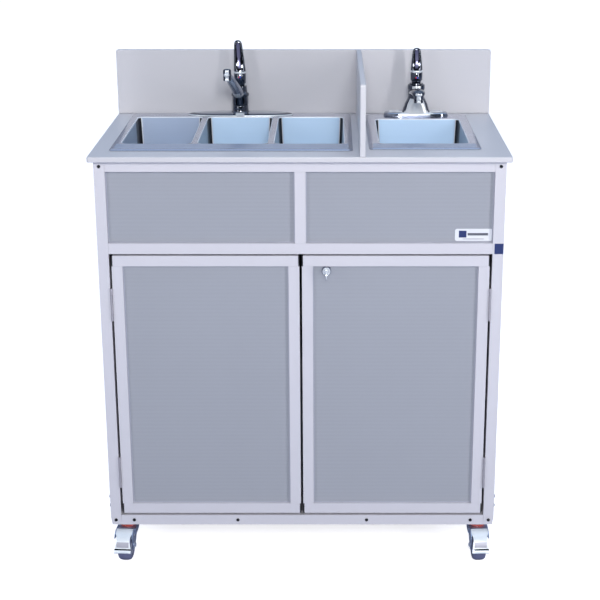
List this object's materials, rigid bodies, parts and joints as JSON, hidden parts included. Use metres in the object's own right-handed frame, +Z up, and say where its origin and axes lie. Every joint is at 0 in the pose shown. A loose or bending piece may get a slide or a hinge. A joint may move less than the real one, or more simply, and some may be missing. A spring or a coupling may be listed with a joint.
{
  "type": "portable handwash sink",
  "caption": "Wheeled aluminium cabinet sink with wash bowls, a separate hand bowl behind a divider, mixer taps, backsplash and two lockable doors over its water tanks.",
  "frame": {"origin": "on the floor, under the middle of the overall box", "axes": "+Z up, -Y out of the doors towards the user, +X to the user's right, where the hand bowl is"},
  "size_m": [0.965, 0.57, 1.2205],
  "materials": {
    "profile_aluminium": "satin anodised profile",
    "panel_sheet": "grey laminate with a fine horizontal grain",
    "worktop_board": "pale lavender-grey solid board",
    "stainless": "brushed stainless sheet",
    "zinc_steel": "bright zinc-plated steel",
    "chrome": "polished chrome plate",
    "wheel_rubber": "blue-grey moulded tread",
    "white_plastic": "blow-moulded polyethylene",
    "grey_plastic": "blow-moulded polyethylene",
    "black_plastic": "moulded nylon",
    "cold_hose": "blue supply hose",
    "hot_hose": "red supply hose"
  },
  "bodies": {
    "root": {"left_side_frame": "profile_aluminium", "right_side_frame": "profile_aluminium", "front_upper_frame": "profile_aluminium", "front_bottom_rail": "profile_aluminium", "rear_bottom_rail": "profile_aluminium", "rear_top_rail": "profile_aluminium", "left_side_panel": "panel_sheet", "right_side_panel": "panel_sheet", "upper_panel_left": "panel_sheet", "upper_panel_right": "panel_sheet", "floor_panel": "panel_sheet", "rear_panel": "panel_sheet", "countertop": "worktop_board", "backsplash": "worktop_board", "divider": "worktop_board", "triple_sink": "stainless", "hand_sink": "stainless", "strainer_left": "zinc_steel", "strainer_middle": "zinc_steel", "strainer_right": "zinc_steel", "strainer_hand": "zinc_steel", "hinge_left_upper_frame_leaf": "zinc_steel", "hinge_left_lower_frame_leaf": "zinc_steel", "hinge_right_upper_frame_leaf": "zinc_steel", "hinge_right_lower_frame_leaf": "zinc_steel", "kitchen_tap_base": "chrome", "hand_tap_base": "chrome", "fresh_tank": "white_plastic", "waste_manifold": "white_plastic", "water_heater": "white_plastic", "waste_tank": "grey_plastic", "water_pump": "black_plastic", "power_inlet": "black_plastic", "cold_line": "cold_hose", "hot_line": "hot_hose"},
    "left_door": {"left_door_frame": "profile_aluminium", "left_door_panel": "panel_sheet", "hinge_left_upper_door_leaf": "zinc_steel", "hinge_left_lower_door_leaf": "zinc_steel"},
    "right_door": {"right_door_frame": "profile_aluminium", "right_door_panel": "panel_sheet", "hinge_right_upper_door_leaf": "zinc_steel", "hinge_right_lower_door_leaf": "zinc_steel", "lock_barrel": "chrome"},
    "key": {"lock_key": "chrome"},
    "kitchen_spout": {"kitchen_spout": "chrome"},
    "kitchen_cartridge": {"kitchen_cartridge": "chrome"},
    "kitchen_lever": {"kitchen_lever": "chrome"},
    "hand_cartridge": {"hand_cartridge": "chrome"},
    "hand_lever": {"hand_lever": "chrome"},
    "caster_front_left": {"caster_front_left_fork": "zinc_steel"},
    "wheel_front_left": {"caster_front_left_wheel": "wheel_rubber"},
    "brake_front_left": {"caster_front_left_brake_pedal": "chrome"},
    "caster_front_right": {"caster_front_right_fork": "zinc_steel"},
    "wheel_front_right": {"caster_front_right_wheel": "wheel_rubber"},
    "brake_front_right": {"caster_front_right_brake_pedal": "chrome"},
    "caster_rear_left": {"caster_rear_left_fork": "zinc_steel"},
    "wheel_rear_left": {"caster_rear_left_wheel": "wheel_rubber"},
    "caster_rear_right": {"caster_rear_right_fork": "zinc_steel"},
    "wheel_rear_right": {"caster_rear_right_wheel": "wheel_rubber"}
  },
  "joints": [
    {"name": "left_door_hinge", "type": "hinge", "parent": "root", "child": "left_door", "pos_m": [-0.4428, -0.2445, 0.45], "axis": [0, 0, -1], "range_deg": [0, 170]},
    {"name": "right_door_hinge", "type": "hinge", "parent": "root", "child": "right_door", "pos_m": [0.4428, -0.2445, 0.45], "axis": [0, 0, 1], "range_deg": [0, 170]},
    {"name": "lock_turn", "type": "hinge", "parent": "right_door", "child": "key", "pos_m": [0.06, -0.241, 0.7505], "axis": [0, -1, 0], "range_deg": [0, 90]},
    {"name": "kitchen_spout_swivel", "type": "hinge", "parent": "root", "child": "kitchen_spout", "pos_m": [-0.162, 0.2295, 1.08], "axis": [0, 0, 1], "range_deg": [-75, 85]},
    {"name": "kitchen_mixer_turn", "type": "hinge", "parent": "root", "child": "kitchen_cartridge", "pos_m": [-0.162, 0.2295, 1.1125], "axis": [0, 0, 1], "range_deg": [-50, 50]},
    {"name": "kitchen_lever_tilt", "type": "hinge", "parent": "kitchen_cartridge", "child": "kitchen_lever", "pos_m": [-0.162, 0.2295, 1.1125], "axis": [1, 0, 0], "range_deg": [0, 22]},
    {"name": "hand_mixer_turn", "type": "hinge", "parent": "root", "child": "hand_cartridge", "pos_m": [0.2885, 0.2185, 1.1215], "axis": [0, 0, 1], "range_deg": [-50, 50]},
    {"name": "hand_lever_tilt", "type": "hinge", "parent": "hand_cartridge", "child": "hand_lever", "pos_m": [0.2885, 0.2185, 1.1215], "axis": [1, 0, 0], "range_deg": [0, 22]},
    {"name": "front_left_swivel", "type": "hinge", "parent": "root", "child": "caster_front_left", "pos_m": [-0.4355, -0.198, 0.0985], "axis": [0, 0, 1], "continuous": true},
    {"name": "front_left_roll", "type": "hinge", "parent": "caster_front_left", "child": "wheel_front_left", "pos_m": [-0.43773, -0.22992, 0.038], "axis": [0.9976, -0.0698, 0], "continuous": true},
    {"name": "front_left_brake_press", "type": "hinge", "parent": "caster_front_left", "child": "brake_front_left", "pos_m": [-0.43829, -0.2379, 0.069], "axis": [0.9976, -0.0698, 0], "range_deg": [0, 7]},
    {"name": "front_right_swivel", "type": "hinge", "parent": "root", "child": "caster_front_right", "pos_m": [0.4355, -0.198, 0.0985], "axis": [0, 0, 1], "continuous": true},
    {"name": "front_right_roll", "type": "hinge", "parent": "caster_front_right", "child": "wheel_front_right", "pos_m": [0.43662, -0.22998, 0.038], "axis": [0.9994, 0.0349, 0], "continuous": true},
    {"name": "front_right_brake_press", "type": "hinge", "parent": "caster_front_right", "child": "brake_front_right", "pos_m": [0.4369, -0.23798, 0.069], "axis": [0.9994, 0.0349, 0], "range_deg": [0, 7]},
    {"name": "rear_left_swivel", "type": "hinge", "parent": "root", "child": "caster_rear_left", "pos_m": [-0.4355, 0.224, 0.0985], "axis": [0, 0, 1], "continuous": true},
    {"name": "rear_left_roll", "type": "hinge", "parent": "caster_rear_left", "child": "wheel_rear_left", "pos_m": [-0.42885, 0.1927, 0.038], "axis": [0.9781, 0.2079, 0], "continuous": true},
    {"name": "rear_right_swivel", "type": "hinge", "parent": "root", "child": "caster_rear_right", "pos_m": [0.4355, 0.224, 0.0985], "axis": [0, 0, 1], "continuous": true},
    {"name": "rear_right_roll", "type": "hinge", "parent": "caster_rear_right", "child": "wheel_rear_right", "pos_m": [0.43049, 0.19239, 0.038], "axis": [0.9877, -0.1564, 0], "continuous": true}
  ]
}
